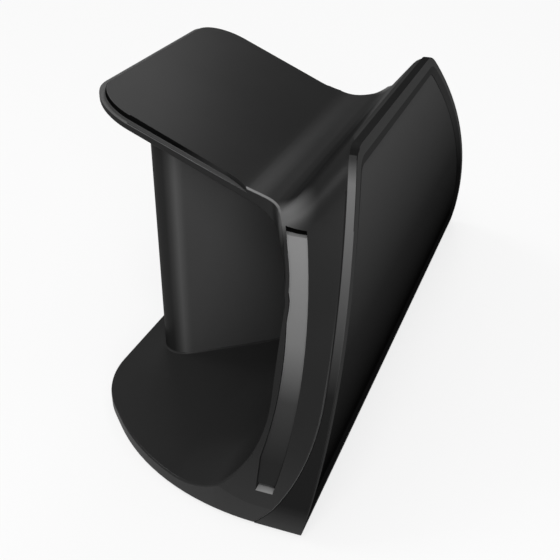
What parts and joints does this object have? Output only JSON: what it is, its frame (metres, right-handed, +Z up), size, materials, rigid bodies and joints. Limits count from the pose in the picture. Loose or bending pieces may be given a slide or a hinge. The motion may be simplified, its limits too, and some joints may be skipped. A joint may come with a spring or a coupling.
{
  "type": "controller stand",
  "caption": "C-shaped desk stand with a bowed front plate, a cradle behind its lip and a sloping rear shelf that holds a game controller for display.",
  "frame": {"origin": "middle of the box round the part in plan, at the underside of the rubber pads", "axes": "+X across the width, -Y towards the front plate, +Y towards the rear of the shelf, +Z up"},
  "size_m": [0.1212, 0.056, 0.057],
  "materials": {
    "body_plastic": "satin",
    "plate_plastic": "semi-gloss",
    "strip_plastic": "satin grey",
    "pad_rubber": "matte"
  },
  "bodies": {
    "root": {"stand_body": "body_plastic", "front_plate": "plate_plastic", "side_strip_left": "strip_plastic", "side_strip_right": "strip_plastic", "foot_pad_front_left": "pad_rubber", "foot_pad_front_right": "pad_rubber", "foot_pad_rear_left": "pad_rubber", "foot_pad_rear_right": "pad_rubber"}
  },
  "joints": []
}
